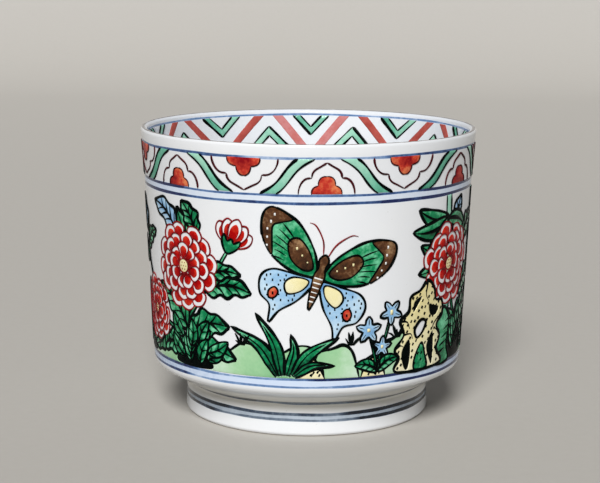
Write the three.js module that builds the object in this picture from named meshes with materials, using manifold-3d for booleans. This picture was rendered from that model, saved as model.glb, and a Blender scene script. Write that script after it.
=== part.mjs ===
// A tobacco ember pot: a straight-sided porcelain pot on a turned foot ring. It holds a bed of
// sifted ash with one piece of charcoal standing in it. Millimetres, +Z up. The origin is at the
// centre of the flat ring that the foot stands on.

import * as THREE from "three";
import { mergeVertices } from "three/addons/utils/BufferGeometryUtils.js";
import Module from "manifold-3d";

const wasm = await Module();
wasm.setup();

// Driving dimensions of the pot's outside.
const potHeight = 84; // ground to the top of the lip
const rimRadius = 49; // outside of the lip
const lipFlare = 0.4; // how far the lip turns out beyond the wall's straight taper
const lipFlareHeight = 14; // height of the stretch below the top that turns out
const heelRadius = 45.5; // outside of the wall at its lowest corner, the heel
const undersideSlope = THREE.MathUtils.degToRad(30.5); // rise of the underside from foot to heel
const heelFillet = 2.5;
const footNeckRadius = 35.9; // outside of the foot ring where it meets the pot
const footNeckFillet = 1.6; // hollow between the foot ring and the underside

// Driving dimensions of the walls and of the inside.
const lipThickness = 2; // the lip is a half round of this width
const wallThickness = 3.4;
const lipThinningHeight = 16; // height over which the wall thins to the lip
const floorThickness = 5.5;
const floorFillet = 9; // round between the inside wall and the floor

// Driving dimensions of the foot ring, a separate ring of clay joined on under the floor.
const footHeight = 8.5; // ground to the joint
const footSpread = 0.3; // how much wider the foot ring is at the ground than at the joint
const footWidth = 5; // of the ring at the ground
const footInsideLean = 0.8; // how much the ring's inside draws in towards the joint
const footOuterFillet = 1.2;
const footInnerFillet = 1;

// Driving dimensions of the ash and the charcoal.
const ashEdgeHeight = 53; // of the ash at the wall, above the ground
const ashMound = 5.5; // rise of the ash from the wall to the charcoal
const ashMoundCurve = 1.5; // 1 is a straight slope, and more is hollower
const furrowCount = 24; // lines drawn in the ash with the fire chopsticks
const furrowDepth = 1.1;
const charcoalRadius = 13;
const charcoalHeight = 42;
const charcoalShowing = 7.5; // how much of it stands above the ash
const charcoalEndFillet = 1.4;
const barkRidges = 11;
const barkDepth = 0.55;
const barkUnevenness = 1; // how far the ridges wander, in radians of a ridge
const crackCount = 9; // splits that run from the heart of the wood to the bark
const crackWidth = 1.5;
const crackDepth = 2.6;
const crackStart = 2.8; // distance of a crack's inner end from the heart
const crackInnerShare = 0.25; // width and depth at the inner end, as a share of those at the bark
const crackUnevenness = 0.16; // how far a crack's direction strays, in radians
const looseFit = 0.3; // gap round the ash, and round the charcoal in the ash
const cutClearance = 1; // how far a cut starts outside the piece
const rounding = 1e-3; // allowed when the heights and radii of vertices are compared

// How finely round shapes are faceted.
const potSides = 72;
const ashSides = furrowCount * 4;
const charcoalSides = barkRidges * 4;
const filletStep = THREE.MathUtils.degToRad(14);
const curveSteps = 6; // along the lip's flare, the lip's thinning and the slope of the ash
const lipSteps = 6; // round the half-round lip

const porcelain = new THREE.MeshStandardMaterial({ color: 0xf0f0f2, roughness: 0.12, metalness: 0 });
const bareFoot = new THREE.MeshStandardMaterial({ color: 0xece8e0, roughness: 0.3, metalness: 0 });
const ash = new THREE.MeshStandardMaterial({ color: 0xb9b4aa, roughness: 1, metalness: 0 });
const charcoal = new THREE.MeshStandardMaterial({ color: 0x26241f, roughness: 0.85, metalness: 0 });

// Height of the middle of the half-round lip, where the pot is widest.
function lipHeight() {
  return potHeight - lipThickness / 2;
}

// Outside radius of the pot's wall at a height: a straight taper that turns out below the lip.
function wallRadius(z) {
  const taper = (rimRadius - lipFlare - heelRadius) / (lipHeight() - heelHeight());
  const turn = Math.max(0, 1 - (lipHeight() - z) / lipFlareHeight);
  return heelRadius + taper * (z - heelHeight()) + lipFlare * turn * turn;
}

// Height of the heel: the underside rises to it from the foot's neck.
function heelHeight() {
  return neckHeight() + (heelRadius - footNeckRadius) * Math.tan(undersideSlope);
}

// Height of the corner between the foot's neck and the underside. The fillet ends at the joint.
function neckHeight() {
  const halfAngle = (Math.PI / 2 + undersideSlope) / 2;
  return footHeight + footNeckFillet / Math.tan(halfAngle);
}

// Height of the pot's inside floor.
function floorHeight() {
  return footHeight + floorThickness;
}

// Inside radius of the pot's wall at a height. The wall thins towards the lip.
function insideRadius(z) {
  const thinning = THREE.MathUtils.clamp((lipHeight() - z) / lipThinningHeight, 0, 1);
  const thickness = wallThickness - (wallThickness - lipThickness) * (1 - thinning) ** 2;
  return wallRadius(z) - thickness;
}

// Values spread evenly between two values, both included.
function spread(from, to, steps) {
  return Array.from({ length: steps + 1 }, (_, i) => THREE.MathUtils.lerp(from, to, i / steps));
}

// A wave between 0 and 1 that is 0 at angle 0.
function wave(angle) {
  return 0.5 - 0.5 * Math.cos(angle);
}

// A point of an arc in an outline.
function onArc(centre, radius, angle) {
  return new THREE.Vector2(Math.cos(angle), Math.sin(angle)).multiplyScalar(radius).add(centre);
}

// Turns an outline of [radius, height, fillet] corners into points. A corner with a fillet becomes
// an arc that touches both of its sides.
function filleted(corners, closed = false) {
  const points = [];
  corners.forEach(([r, z, fillet = 0], i) => {
    const corner = new THREE.Vector2(r, z);
    if (!fillet || (!closed && (i === 0 || i === corners.length - 1))) {
      points.push(corner);
      return;
    }
    const previous = corners[(i + corners.length - 1) % corners.length];
    const next = corners[(i + 1) % corners.length];
    const back = new THREE.Vector2(previous[0] - r, previous[1] - z).normalize();
    const ahead = new THREE.Vector2(next[0] - r, next[1] - z).normalize();
    const half = Math.acos(THREE.MathUtils.clamp(back.dot(ahead), -1, 1)) / 2;
    const bisector = back.clone().add(ahead).normalize();
    const centre = corner.clone().addScaledVector(bisector, fillet / Math.sin(half));
    const reach = fillet / Math.tan(half);
    const start = corner.clone().addScaledVector(back, reach).sub(centre).angle();
    const end = corner.clone().addScaledVector(ahead, reach).sub(centre).angle();
    const turn = Math.atan2(Math.sin(end - start), Math.cos(end - start));
    const steps = Math.max(2, Math.ceil(Math.abs(turn) / filletStep));
    for (let step = 0; step <= steps; step++) {
      points.push(onArc(centre, fillet, start + (turn * step) / steps));
    }
  });
  return points;
}

// Revolves an outline of (radius, height) points about the Z axis.
function revolved(outline, sides) {
  return new THREE.LatheGeometry(outline, sides).rotateX(Math.PI / 2);
}

// Moves each vertex of a geometry with a function of its place.
function reshaped(geometry, move) {
  const position = geometry.getAttribute("position");
  const vertex = new THREE.Vector3();
  for (let i = 0; i < position.count; i++) {
    move(vertex.fromBufferAttribute(position, i));
    position.setXYZ(i, vertex.x, vertex.y, vertex.z);
  }
  return geometry;
}

// The geometry as a solid that can be cut.
function solid(geometry) {
  geometry.deleteAttribute("normal");
  geometry.deleteAttribute("uv");
  const merged = mergeVertices(geometry, 1e-4);
  const vertProperties = merged.getAttribute("position").array;
  const triVerts = new Uint32Array(merged.index.array);
  return new wasm.Manifold(new wasm.Mesh({ numProp: 3, vertProperties, triVerts }));
}

// The solid's surface as a geometry.
function geometryOf(manifold) {
  const mesh = manifold.getMesh();
  const geometry = new THREE.BufferGeometry();
  geometry.setAttribute("position", new THREE.BufferAttribute(mesh.vertProperties, 3));
  geometry.setIndex(new THREE.BufferAttribute(mesh.triVerts, 1));
  return geometry;
}

// The thrown pot: underside, wall, half-round lip, inside wall and floor, in one turned outline.
function potBody() {
  const flareStart = lipHeight() - lipFlareHeight;
  const thinningStart = lipHeight() - lipThinningHeight;
  const lipRadius = lipThickness / 2;
  const lipCentre = new THREE.Vector2(rimRadius - lipRadius, lipHeight());
  const joint = new THREE.Vector2(0, footHeight);
  const underside = filleted([
    [footNeckRadius, footHeight],
    [footNeckRadius, neckHeight(), footNeckFillet],
    [heelRadius, heelHeight(), heelFillet],
    [wallRadius(flareStart), flareStart],
  ]).slice(1, -1);
  const flare = spread(flareStart, lipHeight(), curveSteps).map((z) => new THREE.Vector2(wallRadius(z), z));
  const lip = spread(0, Math.PI, lipSteps).map((angle) => onArc(lipCentre, lipRadius, angle)).slice(1, -1);
  const thinning = spread(lipHeight(), thinningStart, curveSteps).map(
    (z) => new THREE.Vector2(insideRadius(z), z),
  );
  const floor = filleted([
    [insideRadius(thinningStart), thinningStart],
    [insideRadius(floorHeight()), floorHeight(), floorFillet],
    [0, floorHeight()],
  ]).slice(1);
  return revolved([joint, ...underside, ...flare, ...lip, ...thinning, ...floor], potSides);
}

// The foot ring: a ring with rounded edges and a flat to stand on, joined under the floor.
function footRing() {
  const outer = footNeckRadius + footSpread;
  const inner = outer - footWidth;
  const outline = filleted(
    [
      [inner - footInsideLean, footHeight],
      [inner, 0, footInnerFillet],
      [outer, 0, footOuterFillet],
      [footNeckRadius, footHeight],
    ],
    true,
  );
  return revolved([...outline, outline[0]], potSides);
}

// Radius of the ash where its surface meets the wall.
function ashEdgeRadius() {
  return insideRadius(ashEdgeHeight) - looseFit;
}

// Height of the ash's surface at a distance from the axis, without the furrows.
function ashHeight(radius) {
  const out = (radius - charcoalRadius) / (ashEdgeRadius() - charcoalRadius);
  return ashEdgeHeight + ashMound * (1 - THREE.MathUtils.clamp(out, 0, 1)) ** ashMoundCurve;
}

function charcoalTop() {
  return ashHeight(charcoalRadius) + charcoalShowing;
}

// The bed of ash: it fills the pot to a low mound, with a pocket for the charcoal in the middle
// and furrows drawn from the charcoal to the wall.
function ashBed() {
  const bottom = floorHeight() + looseFit;
  const pocketRadius = charcoalRadius + looseFit;
  const pocketFloor = charcoalTop() - charcoalHeight - looseFit;
  const edge = ashEdgeRadius();
  const underside = filleted([
    [0, bottom],
    [insideRadius(bottom) - looseFit, bottom, floorFillet - looseFit],
    [edge, ashEdgeHeight],
  ]).slice(0, -1);
  const surface = spread(edge, pocketRadius, curveSteps).map(
    (radius) => new THREE.Vector2(radius, ashHeight(radius)),
  );
  const pocket = [new THREE.Vector2(pocketRadius, pocketFloor), new THREE.Vector2(0, pocketFloor)];
  return reshaped(revolved([...underside, ...surface, ...pocket], ashSides), (vertex) => {
    const radius = Math.hypot(vertex.x, vertex.y);
    const onSurface = vertex.z > ashEdgeHeight - rounding && radius > pocketRadius - rounding;
    if (!onSurface) return;
    const middle = (edge + pocketRadius) / 2;
    const halfWidth = (edge - pocketRadius) / 2;
    const fade = 1 - ((radius - middle) / halfWidth) ** 2;
    vertex.z -= furrowDepth * fade * wave(furrowCount * Math.atan2(vertex.y, vertex.x));
  });
}

// One radial crack as a wedge that is widest and deepest at the bark.
function crack(angle, top) {
  const length = charcoalRadius + cutClearance - crackStart;
  const wedge = new THREE.Shape([
    new THREE.Vector2(-crackWidth / 2, 0),
    new THREE.Vector2(0, -crackDepth),
    new THREE.Vector2(crackWidth / 2, 0),
    new THREE.Vector2(crackWidth / 2, cutClearance),
    new THREE.Vector2(-crackWidth / 2, cutClearance),
  ]);
  const geometry = new THREE.ExtrudeGeometry(wedge, { depth: length, bevelEnabled: false });
  reshaped(geometry, (vertex) => {
    const share = THREE.MathUtils.lerp(crackInnerShare, 1, vertex.z / length);
    vertex.x *= share;
    if (vertex.y < 0) vertex.y *= share;
  });
  geometry.rotateX(Math.PI / 2).rotateZ(Math.PI);
  geometry.translate(0, crackStart, 0).rotateZ(angle).translate(0, 0, top);
  return solid(geometry);
}

// The charcoal: a sawn length of branch with ridged bark, split from the heart at its top end.
function charcoalPiece() {
  const top = charcoalTop();
  const bottom = top - charcoalHeight;
  const outline = filleted([
    [0, bottom],
    [charcoalRadius, bottom, charcoalEndFillet],
    [charcoalRadius, top, charcoalEndFillet],
    [0, top],
  ]);
  const ridged = reshaped(revolved(outline, charcoalSides), (vertex) => {
    const angle = Math.atan2(vertex.y, vertex.x);
    const hollow = wave(barkRidges * angle + barkUnevenness * Math.sin(3 * angle));
    const share = 1 - (barkDepth / charcoalRadius) * hollow;
    vertex.x *= share;
    vertex.y *= share;
  });
  let piece = solid(ridged);
  for (let i = 0; i < crackCount; i++) {
    const stray = crackUnevenness * Math.sin(4 * i);
    piece = piece.subtract(crack((2 * Math.PI * i) / crackCount + stray, top));
  }
  return geometryOf(piece);
}

function named(name, geometry, material) {
  const mesh = new THREE.Mesh(geometry, material);
  mesh.name = name;
  return mesh;
}

const emberPot = new THREE.Group();
emberPot.add(
  named("pot_body", potBody(), porcelain),
  named("foot_ring", footRing(), bareFoot),
  named("ash_bed", ashBed(), ash),
  named("charcoal", charcoalPiece(), charcoal),
);

export default emberPot;
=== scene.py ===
# The looks of the tobacco ember pot: glazed porcelain with painted rings and enamels, a bed of
# wood ash and a piece of charcoal. Drawing sizes are in millimetres, and objects are in metres.

from math import acos, atan2, ceil, cos, pi, radians, remainder, sin, sqrt, tan, tau

import bpy
import numpy as np
from mathutils import Matrix, Vector, noise
from mathutils.geometry import delaunay_2d_cdt


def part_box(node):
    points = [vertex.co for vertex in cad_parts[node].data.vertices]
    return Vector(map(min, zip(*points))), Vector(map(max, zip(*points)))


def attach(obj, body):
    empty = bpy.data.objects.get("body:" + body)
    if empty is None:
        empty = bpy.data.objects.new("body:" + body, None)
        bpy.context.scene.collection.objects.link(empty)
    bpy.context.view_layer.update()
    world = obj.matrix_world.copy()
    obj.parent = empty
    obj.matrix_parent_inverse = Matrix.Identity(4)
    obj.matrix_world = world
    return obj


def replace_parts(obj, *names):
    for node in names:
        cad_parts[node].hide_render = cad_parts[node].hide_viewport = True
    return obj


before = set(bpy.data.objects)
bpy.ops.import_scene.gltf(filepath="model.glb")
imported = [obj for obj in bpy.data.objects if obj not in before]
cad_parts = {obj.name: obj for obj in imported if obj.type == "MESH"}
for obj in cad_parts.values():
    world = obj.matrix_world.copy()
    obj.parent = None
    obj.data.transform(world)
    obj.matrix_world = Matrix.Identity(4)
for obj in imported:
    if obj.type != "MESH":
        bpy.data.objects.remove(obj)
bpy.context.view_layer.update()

MM = 0.001

# Sizes that the frame gives, in millimetres.
POT_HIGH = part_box("pot_body")[1] / MM
FOOT_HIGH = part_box("foot_ring")[1] / MM
ASH_LOW, ASH_HIGH = (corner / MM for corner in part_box("ash_bed"))
COAL_LOW, COAL_HIGH = (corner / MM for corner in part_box("charcoal"))
RIM_RADIUS = POT_HIGH.x
POT_TOP = POT_HIGH.z
FOOT_RADIUS = FOOT_HIGH.x
FOOT_TOP = FOOT_HIGH.z

# Sizes of the turned outline that no box gives.
LIP_WIDTH, LIP_CREST_INSET = 2.0, 0.55
FLARE, FLARE_HEIGHT = 0.4, 14.0
HEEL_RADIUS, HEEL_FILLET = 45.5, 2.5
UNDERSIDE_SLOPE = radians(30.5)
NECK_RADIUS, NECK_FILLET = 35.9, 1.6
WALL, THINNING_HEIGHT = 3.4, 16.0
FLOOR_THICKNESS, FLOOR_FILLET = 5.5, 9.0
FOOT_WIDTH, FOOT_LEAN = 5.0, 0.8
FOOT_OUTER_FILLET, FOOT_INNER_FILLET = 1.2, 1.0
RECESS_FILLET = 0.8
LIP_HEIGHT = POT_TOP - LIP_WIDTH / 2
FLOOR_HEIGHT = FOOT_TOP + FLOOR_THICKNESS


def linear(red, green, blue):
    """A colour written as 0 to 255 values, as a linear colour with alpha."""
    channels = [c / 255 for c in (red, green, blue)]
    bright = [c / 12.92 if c <= 0.04045 else ((c + 0.055) / 1.055) ** 2.4 for c in channels]
    return (*bright, 1.0)


class Finish:
    """A material built from nodes round one Principled BSDF. Colours are given as 0 to 255 values."""

    def __init__(self, name, roughness, **constants):
        self.material = bpy.data.materials.new(name)
        self.material.use_nodes = True
        self.tree = self.material.node_tree
        self.shader = self.tree.nodes["Principled BSDF"]
        for socket, value in {"Roughness": roughness, **constants}.items():
            self.shader.inputs[socket.replace("_", " ")].default_value = value
        self.place = self.node("TexCoord").outputs["Object"]

    def node(self, kind, settings=None, **inputs):
        """A new node. An input is a value or another node's output; a name's _ stands for a space."""
        node = self.tree.nodes.new("ShaderNode" + kind)
        for key, value in (settings or {}).items():
            setattr(node, key, value)
        for key, value in inputs.items():
            socket = node.inputs[int(key[1:])] if key[1:].isdigit() else node.inputs[key.replace("_", " ")]
            self.feed(socket, value)
        return node

    def feed(self, socket, value):
        if isinstance(value, bpy.types.NodeSocket):
            self.tree.links.new(value, socket)
        else:
            socket.default_value = value

    def noise(self, size, detail=2.0, roughness=0.5, stretch=(1, 1, 1)):
        """Noise between 0 and 1 with blotches of about a size in millimetres."""
        moved = self.node("Mapping", Vector=self.place, Scale=[s / (size * MM) for s in stretch]).outputs[0]
        noise = self.node("TexNoise", Vector=moved, Scale=1.0, Detail=detail, Roughness=roughness)
        return noise.outputs["Fac"]

    def height(self):
        """Height above the floor, in metres."""
        return self.node("SeparateXYZ", Vector=self.place).outputs[2]

    def attribute(self, name):
        return self.node("Attribute", {"attribute_name": name}).outputs["Fac"]

    def math(self, operation, a, b, clamp=False):
        return self.node("Math", {"operation": operation, "use_clamp": clamp}, _0=a, _1=b).outputs[0]

    def between(self, value, low, high, to_low=0.0, to_high=1.0):
        """Maps low to high onto to_low to to_high, and no further."""
        node = self.node("MapRange", Value=value, From_Min=low, From_Max=high, To_Min=to_low, To_Max=to_high)
        return node.outputs["Result"]

    def mix(self, share, *colours):
        low, high = (linear(*c) if isinstance(c, tuple) else c for c in colours)
        return self.node("Mix", {"data_type": "RGBA"}, _0=share, _6=low, _7=high).outputs[2]

    def ramp(self, value, places, colours):
        node = self.node("ValToRGB", Fac=value)
        elements = node.color_ramp.elements
        while len(elements) < len(places):
            elements.new(0.5)
        for element, place, colour in zip(elements, places, colours):
            element.position = place
            element.color = linear(*colour)
        return node.outputs["Color"]

    def colour(self, value):
        self.feed(self.shader.inputs["Base Color"], value)

    def roughness(self, value):
        self.feed(self.shader.inputs["Roughness"], value)

    def bump(self, first, second, depth, strength=1.0):
        """Raises the surface by the sum of two heights of 0 to 1 times a depth in millimetres."""
        height = self.math("ADD", first, second)
        node = self.node("Bump", Height=height, Distance=depth * MM, Strength=strength)
        self.feed(self.shader.inputs["Normal"], node.outputs["Normal"])


def arc(centre, radius, start, end):
    """Points of an arc in an outline, about 6 degrees apart. Angles are in radians."""
    count = max(2, ceil(abs(end - start) / radians(6)))
    angles = np.linspace(start, end, count + 1)
    return np.asarray(centre) + radius * np.c_[np.cos(angles), np.sin(angles)]


def rounded(corners):
    """Turns (radius, height, fillet) corners into points, with an arc at each fillet."""
    places = np.array([corner[:2] for corner in corners], float)
    points = [places[:1]]
    for before, here, after, corner in zip(places, places[1:], places[2:], corners[1:]):
        back = (before - here) / np.linalg.norm(before - here)
        ahead = (after - here) / np.linalg.norm(after - here)
        half = acos(np.clip(back @ ahead, -1, 1)) / 2
        inward = (back + ahead) / np.linalg.norm(back + ahead)
        centre = here + inward * corner[2] / sin(half)
        start = here + back * corner[2] / tan(half) - centre
        end = here + ahead * corner[2] / tan(half) - centre
        first = atan2(start[1], start[0])
        turn = atan2(start[0] * end[1] - start[1] * end[0], start @ end)
        points.append(arc(centre, corner[2], first, first + turn))
    return np.vstack(points + [places[-1:]])


# Points up the curve of the flare, and down the curve inside the lip.
CURVE_ROWS = 12
# Half the angle between the underside and the foot.
HALF_CORNER = (pi / 2 + UNDERSIDE_SLOPE) / 2
NECK_HEIGHT = FOOT_TOP + NECK_FILLET / tan(HALF_CORNER)
HEEL_HEIGHT = NECK_HEIGHT + (HEEL_RADIUS - NECK_RADIUS) * tan(UNDERSIDE_SLOPE)


def wall_radius(z):
    """Outside radius of the wall: a straight taper that turns out below the lip."""
    taper = (RIM_RADIUS - FLARE - HEEL_RADIUS) / (LIP_HEIGHT - HEEL_HEIGHT)
    turn = np.maximum(0, 1 - (LIP_HEIGHT - z) / FLARE_HEIGHT)
    return HEEL_RADIUS + taper * (z - HEEL_HEIGHT) + FLARE * turn**2


def inside_radius(z):
    """Inside radius of the wall, which thins towards the lip."""
    share = np.clip((LIP_HEIGHT - z) / THINNING_HEIGHT, 0, 1)
    return wall_radius(z) - WALL + (WALL - LIP_WIDTH) * (1 - share) ** 2


def pot_outline():
    """The turned outline in three stretches: foot to lip, the lip's top, and lip to floor. The lip is
    highest near its outer edge and falls away more slowly inwards."""
    foot_inside = FOOT_RADIUS - FOOT_WIDTH
    flare_start = LIP_HEIGHT - FLARE_HEIGHT
    thinning_start = LIP_HEIGHT - THINNING_HEIGHT
    corners = [
        (0, FOOT_TOP),
        (foot_inside - FOOT_LEAN, FOOT_TOP, RECESS_FILLET),
        (foot_inside, 0, FOOT_INNER_FILLET),
        (FOOT_RADIUS, 0, FOOT_OUTER_FILLET),
        (NECK_RADIUS, NECK_HEIGHT, NECK_FILLET),
        (HEEL_RADIUS, HEEL_HEIGHT, HEEL_FILLET),
        (wall_radius(flare_start), flare_start),
    ]
    flare = np.linspace(flare_start, LIP_HEIGHT, CURVE_ROWS)[1:]
    outside = np.vstack([rounded(corners), np.c_[wall_radius(flare), flare]])
    lip = arc((0, LIP_HEIGHT), LIP_WIDTH / 2, 0, pi)[1:-1]
    inset = np.where(lip[:, 0] > 0, LIP_CREST_INSET, LIP_WIDTH - LIP_CREST_INSET)
    lip[:, 0] = RIM_RADIUS - LIP_CREST_INSET + lip[:, 0] * inset / (LIP_WIDTH / 2)
    thinning = np.linspace(LIP_HEIGHT, thinning_start, CURVE_ROWS)
    corners = [
        (inside_radius(thinning_start), thinning_start),
        (inside_radius(FLOOR_HEIGHT), FLOOR_HEIGHT, FLOOR_FILLET),
        (0, FLOOR_HEIGHT),
    ]
    inside = np.vstack([np.c_[inside_radius(thinning), thinning], rounded(corners)[1:]])
    return outside, lip, inside


def sway(theta, seed, waves=(2, 3, 5, 8, 13)):
    """A slow, smooth unevenness round the pot, between about -1 and 1, that joins up with itself."""
    total = sum(cos(seed * (n + 1.7)) * np.sin(n * theta + seed * n * n) for n in waves)
    return total / sqrt(len(waves))


def distances(points):
    """Distance along a line of points, at each of them."""
    return np.r_[0, np.cumsum(np.linalg.norm(np.diff(points, axis=0), axis=1))]


def dark_stroke(theta, start, end):
    """1 between two angles in degrees, falling to 0 beyond them."""
    middle, half, fade = np.radians([(start + end) / 2, (end - start) / 2, 5])
    away = np.abs((theta - middle + pi) % tau - pi)
    return np.clip((half + fade - away) / fade, 0, 1)


class PaintedLathe:
    """The pot's turned surface, with rows of vertices laid along the edges of the painted rings."""

    SIDES = 480
    FEATHER = 0.14
    # How far a painted line strays, how uneven its width is, and how much darkness widens it.
    STRAY, UNEVENNESS, SPREAD = 0.1, 0.22, 0.2
    # Widest gap between the rows of a painted line.
    ROW_GAP = 0.4
    # An unpainted row follows where the outline has turned or run this far, clear of the painted ones.
    TURN, REACH, CLEAR = radians(5.4), 4.0, 0.45

    def __init__(self, outline):
        self.outline = outline
        self.along = distances(outline)
        self.theta = np.linspace(-pi, pi, self.SIDES, endpoint=False)
        self.rows, self.washes = [], []

    def row(self, place, strays=0.0, **paint):
        """A row at a place along the outline. Each paint is a strength, one value or one an angle."""
        self.rows.append((place, place + strays + 0 * self.theta, paint))

    def washed(self, place):
        """Strength of the pale blue wash at a place. It is thinnest at the front and the back."""
        strength = sum(strength for start, end, strength in self.washes if start < place < end)
        return strength * (1 + 0.8 * np.sin(self.theta) ** 2)

    def ring(self, place, half_width, strength, seed):
        """A cobalt line of uneven width and strength, wider where it is darker."""
        stray = self.STRAY * sway(self.theta, seed)
        uneven = self.UNEVENNESS * sway(self.theta, seed + 0.7, (3, 7, 11, 17))
        wider = half_width * uneven + self.SPREAD * (strength - 0.6)
        for share in np.linspace(-1, 1, 2 * ceil(half_width / self.ROW_GAP) + 1):
            self.row(place + share * half_width, stray + share * wider, cobalt=strength)
        for side in (-1, 1):
            beyond = place + side * (half_width + self.FEATHER)
            self.row(beyond, stray + side * wider, cobalt=self.washed(beyond))

    def fill_in(self):
        """Adds the unpainted rows that the outline's curves need."""
        painted = np.array([place for place, _, _ in self.rows])
        last, heading = 0.0, 0.0
        for i, place in enumerate(self.along):
            ahead = self.outline[min(i + 1, len(self.along) - 1)] - self.outline[max(i - 1, 0)]
            angle = atan2(ahead[1], ahead[0])
            turned_by = abs(remainder(angle - heading, tau))
            wanted = turned_by > self.TURN or place - last > self.REACH
            free = np.abs(painted - place).min() >= self.CLEAR
            if i in (0, len(self.along) - 1) or wanted and free:
                self.row(place, cobalt=self.washed(place))
                last, heading = place, angle

    def build(self, name):
        self.fill_in()
        self.rows.sort(key=lambda row: row[0])
        places = np.array([strayed for _, strayed, _ in self.rows])
        radius, height = (np.interp(places, self.along, side) for side in self.outline.T)
        points = np.stack([radius * np.sin(self.theta), -radius * np.cos(self.theta), height], 2)
        values = {
            paint: np.array([given.get(paint, 0.0) + 0 * self.theta for _, _, given in self.rows])
            for paint in ("bare", "cobalt", "iron")
        }
        return closed_turning(name, points[1:-1], height[0, 0], height[-1, 0], values)


def closed_turning(name, rings, low_centre, high_centre, values):
    """A closed mesh from rings of points and a centre point at each end of the axis."""
    rows, sides = rings.shape[:2]
    points = np.vstack([rings.reshape(-1, 3), [[0, 0, low_centre], [0, 0, high_centre]]])
    index = np.arange(rows * sides).reshape(rows, sides)
    after = np.roll(index, -1, axis=1)
    faces = np.stack([index[:-1], after[:-1], after[1:], index[1:]], 2).reshape(-1, 4).tolist()
    low, high = rows * sides, rows * sides + 1
    faces += [(low, b, a) for a, b in zip(index[0], after[0])]
    faces += [(high, a, b) for a, b in zip(index[-1], after[-1])]
    piece = mesh_object(name, points, faces)
    for key, grid in values.items():
        set_values(piece, key, np.r_[grid[1:-1].reshape(-1), grid[0, 0], grid[-1, 0]])
    return piece


def placed(name, data):
    """An object in the scene, of a mesh, a lamp or a camera."""
    thing = bpy.data.objects.new(name, data)
    bpy.context.scene.collection.objects.link(thing)
    return thing


def mesh_object(name, points, faces):
    """A smooth-shaded object from points in millimetres."""
    mesh = bpy.data.meshes.new(name)
    mesh.from_pydata((np.asarray(points) * MM).tolist(), [], [tuple(int(i) for i in f) for f in faces])
    mesh.validate()
    mesh.polygons.foreach_set("use_smooth", [True] * len(mesh.polygons))
    mesh.update()
    return placed(name, mesh)


def set_values(piece, name, values):
    """Gives each vertex a value, which a material reads by its name."""
    attribute = piece.data.attributes.new(name, "FLOAT", "POINT")
    attribute.data.foreach_set("value", values.astype(np.float32))


# Cobalt from its palest wash to its darkest line, on the wall and, greyer, under the heel.
COBALT = ((212, 225, 243), (206, 222, 246), (108, 140, 186), (58, 90, 140), (8, 28, 82))
SLATE = ((202, 212, 222), (184, 197, 212), (116, 131, 148), (62, 76, 96), (14, 23, 36))


def porcelain_finish():
    """Clear glossy glaze over white clay, with cobalt under it, an iron-brown lip, a bare foot and painted
    shade under the heel.
    """
    finish = Finish("porcelain_glaze", 0.1, IOR=1.5)
    white = finish.mix(finish.noise(22, 3), (230, 234, 240), (239, 241, 243))
    height = finish.height()
    # The white is painted darker and warmer between the foot and the heel: painted shade, with a painted warm
    # reflection from below.
    shade_over_foot = finish.between(height, 6.5 * MM, 8.5 * MM)
    shade_under_heel = finish.between(height, 14.5 * MM, 12.5 * MM)
    white = finish.mix(finish.math("MULTIPLY", shade_over_foot, shade_under_heel), white, (221, 220, 214))
    pools = finish.between(finish.noise(1.6, 4, 0.6), 0.3, 0.7, 0.8, 1.15)
    ink = finish.math("MULTIPLY", finish.attribute("cobalt"), pools)
    blue = finish.ramp(ink, (0, 0.22, 0.5, 0.75, 1), COBALT)
    slate = finish.ramp(ink, (0, 0.24, 0.5, 0.75, 1), SLATE)
    tone = finish.mix(finish.between(height, 14 * MM, 12 * MM), blue, slate)
    painted = finish.mix(finish.between(ink, 0.0, 0.16), white, tone)
    patchy = finish.between(finish.noise(2.5, 4), 0.3, 0.6, 0.55, 1.0)
    brown = finish.math("MULTIPLY", finish.attribute("iron"), patchy)
    edged = finish.mix(brown, painted, (78, 62, 48))
    speck = finish.between(finish.noise(0.55, 1, 0.5), 0.79, 0.83, 0.0, 0.5)
    specked = finish.mix(speck, edged, (120, 100, 80))
    bare = finish.attribute("bare")
    finish.colour(finish.mix(bare, specked, (226, 216, 200)))
    finish.roughness(finish.between(bare, 0.0, 1.0, 0.09, 0.6))
    ripple = finish.math("MULTIPLY", finish.noise(0.8, 2), 0.05)
    finish.bump(finish.noise(9, 2), ripple, 0.05)
    return finish.material


# The cobalt rings: height, half the width, strength and its seed, the darker strokes as (start,
# end, how much darker) in degrees from the front, and the seed of the line's wobble.
OUTSIDE_RINGS = (
    (80.3, 0.3, 0.45, 1.1, ((28, 96, 0.34), (-130, -24, 0.32)), 1.3),
    (70.2, 0.22, 0.72, 2.3, ((44, 95, 0.44), (-105, -48, 0.4)), 2.6),
    (68.1, 0.26, 0.82, 3.2, ((-105, -46, 0.34), (28, 95, 0.34)), 3.9),
    (19.0, 0.26, 0.52, 4.4, ((4, 90, 0.64), (-105, -46, 0.5)), 4.2),
    (16.9, 0.25, 0.53, 5.6, ((36, 95, 0.62), (-105, -48, 0.4)), 5.5),
    (10.0, 0.85, 0.64, 6.1, ((22, 85, 0.26), (-64, -18, 0.26)), 6.8),
    (6.4, 0.32, 0.72, 7.7, ((20, 100, 0.36), (-105, -40, 0.38)), 7.1),
    (4.65, 0.3, 0.56, 8.9, ((26, 95, 0.5), (-105, -48, 0.36)), 8.4),
)
INSIDE_RINGS = ((82.4, 0.24, 0.52, 9.3, (), 9.7), (67.3, 0.26, 0.66, 10.4, (), 10.2))
# The pale washes between pairs of rings, as (low ring, high ring, strength), and inside the pot.
WASHES = ((68.1, 70.2, 0.09), (16.9, 19.0, 0.18), (4.65, 6.4, 0.24))
INSIDE_WASH = 0.025
# How uneven a ring's strength is, and its least and greatest strength.
RING_UNEVENNESS, PALEST, DARKEST = 0.16, 0.3, 1.15
# The foot is bare of glaze below this height.
BARE_HEIGHT = 0.45


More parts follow.
